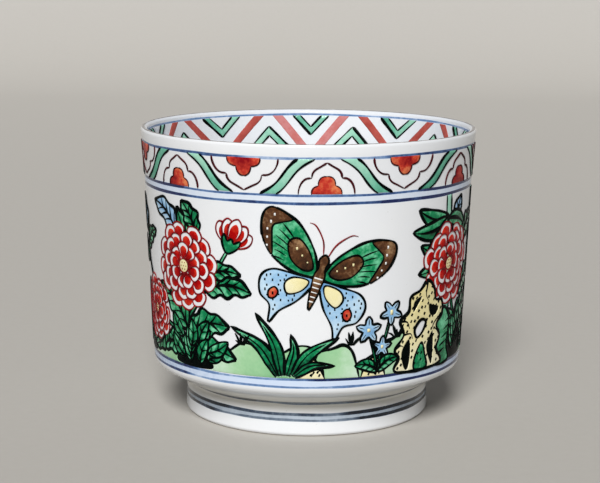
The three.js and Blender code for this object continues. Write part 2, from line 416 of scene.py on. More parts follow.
def paint_rings(lathe, outside, inside_start):
    """The cobalt rings, and the washes between them. The inside of the wall begins at a point of the
    outline that is given."""
    outer = np.arange(np.argmax(outside[:, 0] > FOOT_RADIUS - FOOT_OUTER_FILLET), len(outside))
    inner = inside_start + np.arange(CURVE_ROWS, -1, -1)

    def place(z, rising):
        return float(np.interp(z, lathe.outline[rising, 1], lathe.along[rising]))

    crest = lathe.along[np.argmax(lathe.outline[:, 1])]
    lathe.washes = [(place(low, outer), place(high, outer), tone) for low, high, tone in WASHES]
    lathe.washes.append((crest, lathe.along[-1], INSIDE_WASH))
    for rings, rising in ((OUTSIDE_RINGS, outer), (INSIDE_RINGS, inner)):
        for z, half_width, tone, seed, strokes, wobble in rings:
            strength = tone * (1 + RING_UNEVENNESS * sway(lathe.theta, seed, (4, 9, 15, 22)))
            for start, end, darker in strokes:
                strength = strength + darker * dark_stroke(lathe.theta, start, end)
            lathe.ring(place(z, rising), half_width, np.clip(strength, PALEST, DARKEST), wobble)


# Places across the iron-brown line on the lip, from its crest, in millimetres.
IRON_LINE = (-0.34, -0.22, -0.1, 0, 0.15, 0.32, 0.52, 0.7)


def make_pot():
    outside, lip, inside = pot_outline()
    lathe = PaintedLathe(np.vstack([outside, lip, inside]))
    paint_rings(lathe, outside, len(outside) + len(lip))
    crest = lathe.along[np.argmax(lathe.outline[:, 1])]
    for i, place in enumerate(crest + np.array(IRON_LINE)):
        lathe.row(place, iron=float(0 < i < len(IRON_LINE) - 1), cobalt=lathe.washed(place))
    first, *_, last = np.flatnonzero(outside[:, 1] < BARE_HEIGHT)
    for i, bare in ((first, 0.0), (last, 0.0), (first + 1, 1.0), (last - 1, 1.0)):
        lathe.row(lathe.along[i], bare=bare)
    pot = lathe.build("porcelain_pot")
    pot.data.materials.append(porcelain_finish())
    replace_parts(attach(pot, "pot"), "pot_body", "foot_ring")


def grain(x, y, z, size, octaves=3):
    """Seeded noise of about -1 to 1 at points in millimetres, with lumps of about a size."""
    places = np.stack(np.broadcast_arrays(x, y, z), -1).reshape(-1, 3) / size
    values = [noise.fractal(place, 0.6, 2.0, octaves) for place in places.tolist()]
    return np.reshape(values, np.broadcast(x, y, z).shape)


# The ash and the charcoal, as the pot's solids have them.
ASH_EDGE_HEIGHT = 53.0
ASH_MOUND, ASH_CURVE = ASH_HIGH.z - ASH_EDGE_HEIGHT, 1.5
FURROWS, FURROW_DEPTH = 24, 1.1
COAL_RADIUS = 13.0
LOOSE_FIT = 0.3
COAL_FILLET = 1.4
BARK_RIDGES, BARK_DEPTH = 11, 0.55
CRACKS, CRACK_WIDTH, CRACK_DEPTH = 9, 1.5, 2.6
CRACK_START, CRACK_INNER_SHARE, CRACK_STRAY = 2.8, 0.25, 0.16
# Rows of points over each, points round a row, and how far the charcoal's first and last row keep
# from its axis.
ASH_ROWS, ASH_SIDES = 64, 720
COAL_SIDE_ROWS, COAL_TOP_ROWS, COAL_SIDES = 70, 66, 540
COAL_FIRST_ROW, COAL_LAST_ROW = 0.8, 0.15
# Finer things that the solids leave out: how far the furrows wander, the hollows and crumbs in the
# ash, the rough bark as shares of the radius, and the growth rings and pores of the sawn end.
FURROW_WANDER, HOLLOW_DEPTH, CRUMB_HEIGHT = 0.81, 0.25, 0.5
BARK_INSET, BARK_ROUGHNESS = 0.012, 0.03
RING_SPACING, RING_DEPTH, RING_WANDER, PORE_DEPTH = 0.95, 0.09, 0.35, 0.25


def polar(radii, sides):
    theta = np.linspace(-pi, pi, sides, endpoint=False)
    radius, angle = np.meshgrid(radii, theta, indexing="ij")
    return radius, angle, radius * np.cos(angle), radius * np.sin(angle)


def make_ash():
    """The bed of ash: a low mound with sharp-crested furrows, crumbs and soft hollows."""
    edge = inside_radius(ASH_EDGE_HEIGHT) - LOOSE_FIT
    pocket = COAL_RADIUS + LOOSE_FIT
    radius, angle, x, y = polar(np.linspace(edge, pocket, ASH_ROWS), ASH_SIDES)
    out = (radius - COAL_RADIUS) / (edge - COAL_RADIUS)
    mound = ASH_EDGE_HEIGHT + ASH_MOUND * (1 - np.clip(out, 0, 1)) ** ASH_CURVE
    across = 2 * (radius - pocket) / (edge - pocket) - 1
    wander = FURROW_WANDER * grain(x, y, 0, 11, 2)
    groove = 0.5 - 0.5 * np.cos(FURROWS * (angle + wander / radius))
    sharp = 0.65 * groove + 0.35 * groove**3
    crumbs = np.maximum(0, grain(x, y, 3, 1.7) - 0.12)
    height = mound - FURROW_DEPTH * (1 - across**2) * sharp
    height -= HOLLOW_DEPTH * np.abs(grain(x, y, 9, 5))
    height += CRUMB_HEIGHT * crumbs * (1 - across**4)
    surface = np.stack([x, y, np.minimum(height, ASH_HIGH.z)], -1)
    low, floor = ASH_LOW.z, COAL_LOW.z - LOOSE_FIT
    corner = (inside_radius(low) - LOOSE_FIT, low, FLOOR_FILLET - LOOSE_FIT)
    underside = rounded([(pocket, low), corner, (edge, ASH_EDGE_HEIGHT)])[:-1]
    direction = np.stack([np.cos(angle[0]), np.sin(angle[0])], -1)
    *below, inner = (
        np.c_[direction * r, np.full(len(direction), z)] for r, z in [*underside, (pocket, floor)]
    )
    ash = closed_turning("sifted_ash", np.stack([*below, *surface, inner]), low, floor, {})
    ash.data.materials.append(ash_finish())
    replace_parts(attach(ash, "pot"), "ash_bed")


def ash_finish():
    """Fine grey wood ash: soft patches, grains and a few black crumbs of charcoal."""
    finish = Finish("sifted_wood_ash", 0.96, Specular_IOR_Level=0.15)
    base = finish.mix(finish.noise(14, 4, 0.6), (158, 152, 142), (206, 201, 191))
    grains = finish.noise(0.7, 3, 0.7)
    grained = finish.mix(finish.between(grains, 0.35, 0.7), base, (226, 222, 214))
    crumb = finish.between(finish.noise(0.9, 1), 0.735, 0.765)
    finish.colour(finish.mix(crumb, grained, (58, 54, 50)))
    finish.bump(grains, finish.noise(0.28, 2), 0.12, 0.8)
    return finish.material


def crack_depth(radius, angle):
    """Depth of the splits in the charcoal's top: wedges, widest and deepest at the bark."""
    depth = np.zeros_like(radius)
    length = COAL_RADIUS + 1 - CRACK_START
    for i in range(CRACKS):
        direction = pi / 2 + tau * i / CRACKS + CRACK_STRAY * sin(4 * i)
        away = angle - direction
        along, off = radius * np.cos(away), radius * np.sin(away)
        share = CRACK_INNER_SHARE + (1 - CRACK_INNER_SHARE) * (along - CRACK_START) / length
        jagged = 0.16 * np.sin(1.9 * along + i) * share
        wedge = np.clip(1 - np.abs(off + jagged) / np.maximum(share * CRACK_WIDTH / 2, 1e-6), 0, 1)
        depth = np.maximum(depth, np.where(along > CRACK_START, CRACK_DEPTH * share * wedge, 0))
    return depth


def bark_share(angle, z):
    """How far the bark's ridges draw in at an angle, as a share of the radius."""
    ridge = 0.5 - 0.5 * np.cos(BARK_RIDGES * angle + np.sin(3 * angle) + 0.5 * np.sin(z / 6))
    return 1 - BARK_DEPTH / COAL_RADIUS * ridge


def make_charcoal():
    """A sawn length of branch charcoal with a ringed, split end and furrowed bark."""
    top, bottom = COAL_HIGH.z, COAL_LOW.z
    outline = rounded(
        [(0, bottom), (COAL_RADIUS, bottom, COAL_FILLET), (COAL_RADIUS, top, COAL_FILLET), (0, top)]
    )
    along = distances(outline)
    on_top = along[-1] - COAL_RADIUS
    places = np.linspace(COAL_FIRST_ROW, on_top, COAL_SIDE_ROWS, endpoint=False)
    places = np.r_[places, np.linspace(on_top, along[-1] - COAL_LAST_ROW, COAL_TOP_ROWS)]
    profile_radius, profile_height = (np.interp(places, along, side) for side in outline.T)
    radius, angle, x, y = polar(profile_radius, COAL_SIDES)
    z = profile_height[:, None] + 0 * angle
    share = bark_share(angle, z)
    on_bark = np.clip(radius - COAL_RADIUS + 2, 0, 1)
    share -= on_bark * (BARK_INSET + BARK_ROUGHNESS * np.clip(grain(x, y, z / 3, 2.4, 4), 0, 1))
    ring_count = (radius + RING_WANDER * grain(x, y, 40, 9, 2)) / RING_SPACING
    rings = RING_DEPTH * (0.5 + 0.5 * np.sin(tau * ring_count))
    pores = PORE_DEPTH * np.clip(grain(x, y, 70, 1.1, 2) - 0.25, 0, 1)
    z = z - (z > top - COAL_FILLET - 0.01) * (crack_depth(radius, angle) + rings + pores)
    points = np.stack([x * share, y * share, z], -1)
    coal = closed_turning("branch_charcoal", points, bottom, top - 0.1, {})
    coal.data.materials.append(charcoal_finish())
    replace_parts(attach(coal, "ember"), "charcoal")


def charcoal_finish():
    """Matt black charcoal with a silky sheen on the rings and pale ash on its burnt upper end."""
    finish = Finish("branch_charcoal", 0.7, Specular_IOR_Level=0.35)
    burnt = finish.between(finish.height(), (COAL_HIGH.z - 9) * MM, (COAL_HIGH.z - 0.5) * MM)
    film = finish.math("MULTIPLY", burnt, finish.between(finish.noise(3, 5, 0.7), 0.42, 0.66))
    fibres = finish.noise(0.9, 3, 0.6, (1, 1, 0.08))
    black = finish.mix(fibres, (14, 13, 13), (52, 49, 47))
    finish.colour(finish.mix(film, black, (168, 162, 152)))
    finish.roughness(finish.between(fibres, 0.3, 0.7, 0.42, 0.8))
    finish.bump(fibres, finish.noise(0.35, 3), 0.16, 0.9)
    return finish.material


# The painting is drawn flat, as (x, z) points in millimetres on the unrolled wall. x is 0 at the
# front and grows to the right, and the wall is unrolled at this radius.
UNROLLED = 47.0
# Depth of the underside of each coat of enamel below the glaze.
SINK = 0.15
# Across a brush line, as (share of half its width, height above the wall), and the length of a step.
STROKE_SECTION = ((-1, -SINK), (-0.88, 0.1875), (0, 0.25), (0.88, 0.1875), (1, -SINK))
STROKE_STEP = 0.6
# Finer steps find where a line is covered. A stretch of one step or less is left out, unless the
# whole line is no longer than this.
SEARCH_STEP, SHORT_STROKE = 0.15, 0.6
# Share of its width that a tapered line keeps at its tip.
TIP_WIDTH = 0.25
# Distance of extra points on both sides of a fill's edge and the least that they keep from any
# edge, the rounding of the fill's top, and how deep the top goes into the glaze at its edge.
EDGE_INSET, EDGE_CLEAR, EDGE_ROUNDING, EDGE_SINK = 0.28, 0.2, 0.25, 0.01
# How far beyond a side of a fill a place is tested, to tell the fill's own edge from a cover's.
JUST_BEYOND = 0.04


# The brush marks of the picture in hand, in the order in which they are painted. A fill, or a
# patch that is kept clear, hides what it covers of the marks before it. A line hides nothing.
FILLS, LINES, COVERS = [], [], []


def clear(outline):
    COVERS.append(straight([*outline, outline[0]], 1.0)[:-1])


def fill(enamel, outline, shade=None, lift=0.14, holes=(), spacing=1.4):
    """A patch of enamel, whose depth of colour is a function of the place."""
    clear(outline)
    FILLS.append((enamel, COVERS[-1], holes, shade, lift, spacing, len(COVERS)))


def brush(enamel, points, width, ends=1.5, closed=False):
    """A line that tapers over a length at its ends."""
    points = np.asarray(points, float)
    if closed:
        points, ends = np.vstack([points, points[:2]]), 0
    LINES.append((enamel, points, width, ends, len(COVERS)))


def ink(points, width, ends=1.5, closed=False):
    brush("black", points, width, ends, closed)


def shape(enamel, outline, width, shade=None, edge="black", **look):
    """A fill with a line round it."""
    fill(enamel, outline, shade, **look)
    brush(edge, outline, width, closed=True)


def dot(enamel, place, width):
    half = np.array([width * 0.3, 0])
    brush(enamel, [place - half, place + half], width, 0)


def pits(spots, width):
    """Short slanting dabs on stone."""
    for spot in spots:
        ink([spot, spot + [0.4, 0.7]], width, 0)


def inside(points, outline):
    """Which points lie inside a closed outline."""
    x, y = points.T[:, None]
    ax, ay = outline.T[..., None]
    bx, by = np.roll(outline, -1, 0).T[..., None]
    crossed = (ay > y) != (by > y)
    at = ax + (y - ay) * (bx - ax) / np.where(crossed, by - ay, 1)
    return (crossed & (x < at)).sum(0) % 2 == 1


def hidden(points, covers):
    """Which points lie under any of the covers."""
    result = np.zeros(len(points), bool)
    for cover in near_covers(points, covers):
        result |= inside(points, cover)
    return result


def nearest(points, others):
    return np.sqrt(((points[:, None] - others[None]) ** 2).sum(2)).min(1)


def normals(path, closed=False):
    """Unit vectors square to a line, to its left."""
    step = np.roll(path, -1, 0) - np.roll(path, 1, 0) if closed else np.gradient(path, axis=0)
    step /= np.maximum(np.linalg.norm(step, axis=1), 1e-9)[:, None]
    return np.c_[-step[:, 1], step[:, 0]]


def near_covers(points, covers):
    """The covers that may reach over some points."""
    low, high = points.min(0), points.max(0)
    return [c for c in covers if (c.max(0) > low).all() and (c.min(0) < high).all()]


def flat_mesh(rings, shown, spacing):
    """Points and triangles within the first ring, with edges along all, where a test shows them."""
    rim = np.vstack(rings)
    low, high = rings[0].min(0), rings[0].max(0)
    columns, rows = np.arange(low[0], high[0], spacing), np.arange(low[1], high[1], spacing * 0.87)
    grid = np.stack(np.meshgrid(columns, rows, indexing="ij"), -1)
    grid[:, 1::2, 0] += spacing / 2
    grid = grid.reshape(-1, 2)
    offsets = (EDGE_INSET, -EDGE_INSET)
    inset = np.vstack([ring + side * normals(ring, True) for ring in rings for side in offsets])
    loose = np.vstack([inset[nearest(inset, rim) > EDGE_CLEAR], grid[nearest(grid, rim) > spacing / 2]])
    edges, start = [], 0
    for ring in rings:
        index = start + np.arange(len(ring))
        edges += np.c_[index, np.roll(index, -1)].tolist()
        start += len(ring)
    flat = [Vector(point) for point in np.vstack([rim, loose[shown(loose)]]).tolist()]
    made = delaunay_2d_cdt(flat, edges, [], 0, 1e-4)
    points = np.array([tuple(point) for point in made[0]])
    faces = np.array([face for face in made[2] if len(face) == 3], int).reshape(-1, 3)
    faces = faces[shown(points[faces].mean(1))] if len(faces) else faces
    used, faces = np.unique(faces, return_inverse=True)
    points, faces = points[used], faces.reshape(-1, 3)
    a, b, c = points[faces].transpose(1, 0, 2)
    turn = np.cross(b - a, c - a)
    faces[turn < 0] = faces[turn < 0][:, ::-1]
    return points, faces


def fill_body(outline, holes, covers, lift, spacing):
    """A fill's uncovered part as a low cushion: (x, z, height) points and faces."""
    near = near_covers(outline, covers)

    def shown(points):
        return inside(points, outline) & ~hidden(points, [*holes, *near])

    points, faces = flat_mesh([outline, *holes, *near], shown, spacing)
    if not len(faces):
        return None
    sides = {tuple(side) for i in range(3) for side in faces[:, [i, (i + 1) % 3]].tolist()}
    border = np.array([side for side in sides if side[::-1] not in sides])
    start, end = points[border].transpose(1, 0, 2)
    middles, along = (start + end) / 2, end - start
    outward = np.c_[along[:, 1], -along[:, 0]] / np.linalg.norm(along, axis=1)[:, None]
    beyond = middles + JUST_BEYOND * outward
    own = ~(inside(beyond, outline) & ~hidden(beyond, holes))
    away = np.full(len(points), np.inf)
    if own.any():
        away = nearest(points, np.vstack([start[own], middles[own]]))
        away[np.unique(border[own])] = 0
    count = len(points)
    top = np.c_[points, lift * (1 - np.exp(-away / EDGE_ROUNDING)) - EDGE_SINK]
    bottom = np.c_[points, np.full(count, -SINK)]
    walls = np.c_[border[:, 1], border[:, 0], border[:, 0] + count, border[:, 1] + count]
    return np.vstack([top, bottom]), [*faces.tolist(), *(faces[:, ::-1] + count).tolist(), *walls.tolist()]


def stroke_bodies(path, width, ends, covers, seed):
    """A brush line's uncovered stretches as rounded ribbons."""
    lengths = distances(path)
    total = lengths[-1]

    def at(s):
        return np.c_[np.interp(s, lengths, path[:, 0]), np.interp(s, lengths, path[:, 1])]

    fine = np.linspace(0, total, max(2, ceil(total / SEARCH_STEP)))
    shown = ~hidden(at(fine), covers)
    turns = np.flatnonzero(np.diff(np.r_[0, shown.astype(int), 0]))
    for first, last in zip(turns[::2], turns[1::2] - 1):
        if last - first < 2 and total > SHORT_STROKE:
            continue
        count = max(2, ceil((fine[last] - fine[first]) / STROKE_STEP) + 1)
        s = np.linspace(fine[first], fine[last], count)
        points = at(s)
        shake = 1 + 0.2 * np.sin(s / 2.3 + seed) + 0.11 * np.sin(s / 0.9 + 2.3 * seed)
        start, end = np.broadcast_to(ends, 2)
        into = s / start if start else np.ones(count)
        left = (total - s) / end if end else np.ones(count)
        taper = np.clip(TIP_WIDTH + (1 - TIP_WIDTH) * np.minimum(into, left), TIP_WIDTH, 1)
        across = normals(points) * (width / 2 * shake * taper)[:, None]
        body = np.stack([np.c_[points + across * side, np.full(count, z)] for side, z in STROKE_SECTION], 1)
        index = np.arange(body.size // 3).reshape(count, -1)
        after = np.roll(index, -1, axis=1)
        quads = np.stack([index[:-1], index[1:], after[1:], after[:-1]], 2).reshape(-1, 4)
        yield body.reshape(-1, 3), [*quads.tolist(), index[0].tolist(), index[-1, ::-1].tolist()]


def on_wall(x, radius, z):
    return np.c_[radius * np.sin(x / UNROLLED), -radius * np.cos(x / UNROLLED), z]


def outside_wall(points):
    """Points of the drawing, with a height above the wall, in their places outside the pot."""
    x, z, height = points.T
    return on_wall(x, wall_radius(z) + height, z)


def inside_wall(points):
    x, z, height = points.T
    return on_wall(x, inside_radius(z) - height, z)


def paint(wall, side):
    """Makes one piece for each enamel of the picture in hand, and takes up a new picture."""
    coats = {}

    def add(enamel, body, faces, shade):
        points, all_faces, shades = coats.setdefault(enamel, ([], [], []))
        start = sum(len(earlier) for earlier in points)
        points.append(wall(body))
        all_faces.extend([start + corner for corner in face] for face in faces)
        shades.append(shade)

    for enamel, outline, holes, shade, lift, spacing, order in FILLS:
        made = fill_body(outline, holes, COVERS[order:], lift, spacing)
        if made:
            add(enamel, *made, shade(made[0][:, :2]) if shade else np.full(len(made[0]), 0.5))
    for seed, (enamel, points, width, ends, order) in enumerate(LINES):
        for body, faces in stroke_bodies(points, width, ends, COVERS[order:], seed):
            add(enamel, body, faces, np.full(len(body), 0.5))
    for enamel, (points, faces, shades) in coats.items():
        piece = mesh_object(f"{enamel}_enamel_{side}", np.vstack(points), faces)
        if side == "inside":
            piece.data.flip_normals()
        set_values(piece, "shade", np.concatenate(shades))
        piece.data.materials.append(enamel_finish(enamel))
        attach(piece, "pot")
    for marks in (FILLS, LINES, COVERS):
        marks.clear()


# Each enamel's colour where it is deep, middling and thin, its roughness, its unevenness and its
# shine.
ENAMELS = {
    "green": ((0, 44, 30), (0, 134, 82), (122, 214, 168), 0.1, 0.3, 0.22),
    "mint": ((60, 146, 118), (114, 188, 162), (162, 216, 194), 0.12, 0.16, 0.22),
    "moss": ((130, 188, 138), (162, 208, 162), (206, 232, 210), 0.12, 0.1, 0.22),
    "yellow": ((226, 212, 146), (239, 230, 178), (243, 239, 208), 0.12, 0.14, 0.22),
    "blue": ((88, 142, 196), (150, 194, 230), (200, 226, 243), 0.1, 0.18, 0.22),
    "aubergine": ((34, 18, 10), (88, 54, 30), (172, 138, 100), 0.1, 0.3, 0.22),
    "red": ((112, 0, 4), (174, 6, 8), (216, 64, 40), 0.3, 0.24, 0.06),
    "coral": ((134, 14, 24), (194, 58, 44), (226, 132, 86), 0.3, 0.34, 0.08),
    "rust": ((160, 66, 58), (190, 96, 88), (202, 132, 132), 0.3, 0.2, 0.08),
    "rouge": ((84, 6, 14), (124, 14, 22), (166, 34, 34), 0.35, 0.3, 0.08),
    "maroon": ((34, 8, 12), (60, 16, 22), (104, 34, 38), 0.35, 0.3, 0.04),
    "black": ((2, 5, 5), (4, 9, 8), (14, 22, 19), 0.35, 0.3, 0.02),
    "white": ((222, 226, 226), (236, 238, 236), (246, 246, 242), 0.15, 0.2, 0.3),
}
MADE_FINISHES = {}


def enamel_finish(name):
    """Enamel that is deep where it pools and paler where it is thin and streaked."""
    if name in MADE_FINISHES:
        return MADE_FINISHES[name]
    *tones, roughness, uneven, shine = ENAMELS[name]
    finish = Finish(f"{name}_enamel", roughness, IOR=1.5, Specular_IOR_Level=shine)
    streaks, pools = finish.noise(3.6, 3, 0.55), finish.noise(0.9, 3, 0.6)
    streaky = finish.between(streaks, 0.3, 0.7, -uneven, uneven)
    pooled = finish.between(pools, 0.3, 0.7, -uneven / 3, uneven / 3)
    shade = finish.math("ADD", finish.attribute("shade"), finish.math("ADD", streaky, pooled), True)
    finish.colour(finish.ramp(shade, (0, 0.5, 1), tones))
    finish.bump(streaks, pools, 0.03, 0.6)
    MADE_FINISHES[name] = finish.material
    return finish.material


# Widths of the brush lines in millimetres.
BOLD, PLAIN, FINE = 0.92, 0.66, 0.46
# Height of the line on which the picture stands.
GROUND = 19.35


def smooth(points, step=0.6, closed=False):
    """Points about a step apart on a smooth curve through the given ones."""
    points = np.asarray(points, float)
    if closed:
        padded = np.vstack([points[-1:], points, points[:2]])
    else:
        padded = np.vstack([2 * points[0] - points[1], points, 2 * points[-1] - points[-2]])
    drawn = []
    for a, b, c, d in zip(padded, padded[1:], padded[2:], padded[3:]):
        count = max(1, ceil(np.linalg.norm(c - b) / step))
        t = np.arange(count)[:, None] / count
        bend = (2 * a - 5 * b + 4 * c - d) * t**2 + (3 * b - a - 3 * c + d) * t**3
        drawn.append(0.5 * (2 * b + (c - a) * t + bend))
    if not closed:
        drawn.append(points[-1:])
    return np.vstack(drawn)


def straight(points, step=0.8):
    """Points about a step apart on the straight lines through the given ones."""
    points = np.asarray(points, float)
    drawn = []
    for a, b in zip(points, points[1:]):
        count = max(1, ceil(np.linalg.norm(b - a) / step))
        drawn.append(a + (b - a) * (np.arange(count) / count)[:, None])
    return np.vstack([*drawn, points[-1:]])


def turned(points, angle, centre=(0, 0), size=1.0):
    """Points about the origin, scaled, turned by an angle in radians and set at a centre."""
    c, s = cos(angle), sin(angle)
    return np.asarray(points, float) * size @ np.array([[c, s], [-s, c]]) + np.asarray(centre, float)


def scattered(count, seed=0.0):
    """Evenly scattered points in a square from 0 to 1."""
    i = np.arange(count) + seed
    return np.c_[(i * 0.7549) % 1, (i * 0.5698) % 1]


def from_point(place, reach, low=0.0):
    """A shade that grows from a place to 1 at a reach."""
    return lambda points: low + (1 - low) * np.clip(np.linalg.norm(points - place, axis=1) / reach, 0, 1)


def leaf(root, tip, width, bow=0.12, lobes=0, enamel="green", veins=4, line=BOLD):
    """A leaf from its stalk to its tip, with a bowed midrib and side veins."""
    root, tip = np.asarray(root, float), np.asarray(tip, float)
    along = tip - root
    length = np.linalg.norm(along)
    across = np.array([-along[1], along[0]]) / length
    t = np.linspace(0, 1, 25)

    def axis(t):
        t = np.asarray(t, float)[..., None]
        return root + along * t + across * 4 * bow * length * t * (1 - t)

    half = t**0.6 * (1 - t) ** 0.8
    half *= width / 2 / half.max() * (1 - 0.15 * (1 + np.cos(tau * lobes * t)) * (lobes > 0))
    left, right = axis(t) + across * half[:, None], axis(t) - across * half[:, None]
    edge = smooth(np.vstack([left, right[-2:0:-1]]), closed=True)
    vein_gap = 0.68 / max(veins, 1)

    def shade(points):
        """Pale between the veins and towards the edge, deep along the midrib, and deeper on one side."""
        share = np.clip((points - root) @ along / length**2, 0, 1)
        off = ((points - axis(share)) @ across) / np.maximum(np.interp(share, t, half), 0.5)
        away = np.clip(np.abs(off), 0, 1)
        between = np.sin(pi * ((share - 0.18 * away - 0.1) / vein_gap % 1)) if veins else 0.6
        return 0.2 + (0.25 + 0.65 * between) * away**0.6 * np.where(off * bow > 0, 0.6, 1.0)

    shape(enamel, edge, line, shade=shade, spacing=0.8)
    ink(axis(np.linspace(-0.04, 0.96, 20)), line * 1.2, (0, length * 0.5))
    for start in 0.1 + vein_gap * np.arange(veins):
        end = min(start + 0.18, 0.95)
        reach = np.interp(end, t, half) * 0.9
        for side in (1, -1):
            middle = axis((start + end) / 2) + across * side * reach * 0.42
            vein = smooth([axis(start), middle, axis(end) + across * side * reach])
            ink(vein, line * 0.75, (0, reach))


def petal_outline(length, width, blunt=0.66):
    """A petal along +X from the origin, narrow at its foot and widest near its blunt end."""
    t = np.linspace(0, 1, 15)
    swell = np.sin(np.minimum(t / blunt, 1) * pi / 2) ** 1.1
    close = np.clip(np.cos(np.clip((t - blunt) / (1 - blunt), 0, 1) * pi / 2), 0, 1) ** 0.6
    top = np.c_[t * length, swell * close * width / 2]
    return np.vstack([top, top[-2:0:-1] * [1, -1]])


def petal(centre, angle, start, length, width, rim=0.3):
    """One petal with a bare white rim round a coloured middle that is deepest at its foot."""
    outer = smooth(turned(petal_outline(length, width) + [start, 0], angle, centre), 0.5, True)
    heart = petal_outline(length * (1 - rim * 0.6), width * (1 - rim)) + [start, 0]
    foot = turned([[start, 0]], angle, centre)[0]
    clear(outer)
    fill("red", smooth(turned(heart, angle, centre), 0.5, True), from_point(foot, length))
    brush("rouge", outer, FINE, closed=True)


def chrysanthemum(centre, radius, petals=12, seed=0.0):
    """A flower seen from the front: rings of petals round a dotted eye."""
    width = tau * radius * 0.78 / petals
    # Each ring's petals, where they start, their length and width, their rim and the ring's turn.
    rings = (
        (petals, 0.54, 0.46, 1.12, 0.34, 0.0),
        (petals, 0.36, 0.42, 0.98, 0.36, 0.5),
        (petals - 3, 0.15, 0.38, 0.92, 0.38, 0.2),
    )
    for count, start, length, wide, rim, turn in rings:
        for i in range(count):
            angle = tau * (i + turn + 0.15 * sin(2.4 * i + seed)) / count + 0.3 * seed
            long = radius * (length + 0.04 * sin(3.1 * i + seed))
            petal(centre, angle, radius * start, long, width * wide, rim)
    around = np.arange(12) * tau / 12
    eye = smooth(turned(np.c_[np.cos(around), np.sin(around)], 0, centre, radius * 0.16), 0.4, True)
    shape("yellow", eye, FINE, edge="rouge")
    for i in range(7):
        dot("rouge", turned([[radius * 0.085 * (i > 0), 0]], i * tau / 6, centre)[0], 0.36)


# The green cup of a bud that points along +X, as shares of its size.
FLOWER_CUP = (
    (0.36, 0.3), (0.1, 0.3), (-0.2, 0), (0.1, -0.3), (0.36, -0.3), (0.2, -0.12), (0.32, 0), (0.2, 0.12)
)


def bud(centre, angle, size):
    """A half-open flower: petals that overlap above a green cup."""
    for off in (-0.75, 0.75, -0.38, 0.38, 0.0):
        petal(centre, angle + off, 0.0, size * (1.0 - 0.12 * abs(off)), size * 0.46)
    shape("green", smooth(turned(FLOWER_CUP, angle, centre, size), 0.4, True), PLAIN)


def bellflower(centre, size, turn):
    """A small five-pointed blue flower with a yellow eye."""
    edge = []
    for i in range(5):
        for reach, off in ((0.46, -0.5), (0.78, -0.22), (1.0, 0.0), (0.78, 0.22)):
            edge.append(turned([reach, 0], tau * (i + off) / 5 + turn, centre, size))
    shape("blue", straight([*edge, edge[0]], 0.5)[:-1], PLAIN, from_point(centre, size, 0.1))
    for i in range(5):
        ink(turned([[0.36, 0], [0.8, 0]], tau * i / 5 + turn, centre, size), 0.3, 0.8)
    dot("yellow", centre, size * 0.36)


def ribbed(path, half):
    """The two edges of a strip along a path, and its outline."""
    offset = normals(path) * half[:, None]
    left, right = path + offset, path - offset
    return left, right, np.vstack([left, right[::-1]])


def stem(points, width=0.9, enamel="green", nodes=()):
    """A stalk with a dark line on both sides and, on a cane, a dark joint at each node's share."""
    path = smooth(points, 0.8)
    left, right, outline = ribbed(path, np.linspace(width / 2, width * 0.36, len(path)))
    fill(enamel, outline, from_point(path[0], 30, 0.2), 0.12)
    ink(left, FINE)
    ink(right, PLAIN)
    for share in nodes:
        at = int(share * (len(path) - 1))
        across = normals(path)[at] * width * 0.75
        ink(straight([path[at] - across, path[at] + across]), BOLD, 0.8)


def blade(points, width):
    """A long grass leaf through some points, widest a third of the way up and pointed."""
    path = smooth(points, 0.7)
    t = np.linspace(0, 1, len(path))
    half = width / 2 * np.minimum(1, (t + 0.25) / 0.5) * np.minimum(1, (1 - t) / 0.6) ** 0.8
    left, right, _ = ribbed(path, half)
    outline = np.vstack([left, right[-2::-1]])
    fill("green", outline, from_point(path[0], np.linalg.norm(path[-1] - path[0])))
    ink(left, PLAIN)
    ink(right, BOLD)
    rib = int(len(path) * 0.8)
    ink((path + normals(path) * half[:, None] * 0.15)[:rib], FINE)


def tuft(foot, height, seed):
    """A small fan of seven grass strokes."""
    for i in range(7):
        lean = (i - 3) * 0.3 + 0.2 * sin(seed + 2.3 * i)
        rise = height * (0.75 + 0.25 * cos(1.7 * i + seed))
        top = foot + rise * np.array([sin(lean), cos(lean)])
        middle = (foot + top) / 2 + [0.12 * height * sin(lean), 0.08 * height]
        ink(smooth([np.add(foot, (0.25 * i - 0.84, 0)), middle, top]), BOLD)


# Outlines of the butterfly's right wings and of its body, as shares of its size.
FORE_WING = (
    (0.05, 0.1), (0.2, 0.4), (0.52, 0.7), (0.9, 0.8), (1.02, 0.66), (0.95, 0.36), (0.72, 0.12), (0.4, 0),
    (0.1, 0),
)
FORE_BAND = (
    (0.6, 0.72), (0.9, 0.8), (1.02, 0.66), (0.95, 0.36), (0.74, 0.13), (0.8, 0.36), (0.84, 0.54), (0.74, 0.62)
)
FORE_CELL = ((0.12, 0.12), (0.24, 0.34), (0.44, 0.48), (0.56, 0.38), (0.46, 0.16), (0.26, 0.06))
HIND_WING = (
    (0.06, -0.02), (0.36, -0.03), (0.66, -0.06), (0.8, -0.22), (0.74, -0.46),
    (0.56, -0.58), (0.5, -0.83), (0.4, -0.62), (0.2, -0.4), (0.06, -0.14),
)
HIND_CELL = ((0.12, -0.07), (0.34, -0.08), (0.44, -0.2), (0.36, -0.34), (0.18, -0.24))
EYE_SPOT = ((0.56, -0.3), (0.63, -0.38), (0.6, -0.48), (0.52, -0.46), (0.49, -0.36))
INSECT_BODY = (
    (0, 0.36), (0.07, 0.28), (0.05, 0.16), (0.08, 0.04), (0.07, -0.12), (0.05, -0.3), (0, -0.48),
    (-0.05, -0.3), (-0.07, -0.12), (-0.08, 0.04), (-0.05, 0.16), (-0.07, 0.28),
)
FEELER = ((0.03, 0.32), (0.1, 0.54), (0.26, 0.72), (0.36, 0.74))


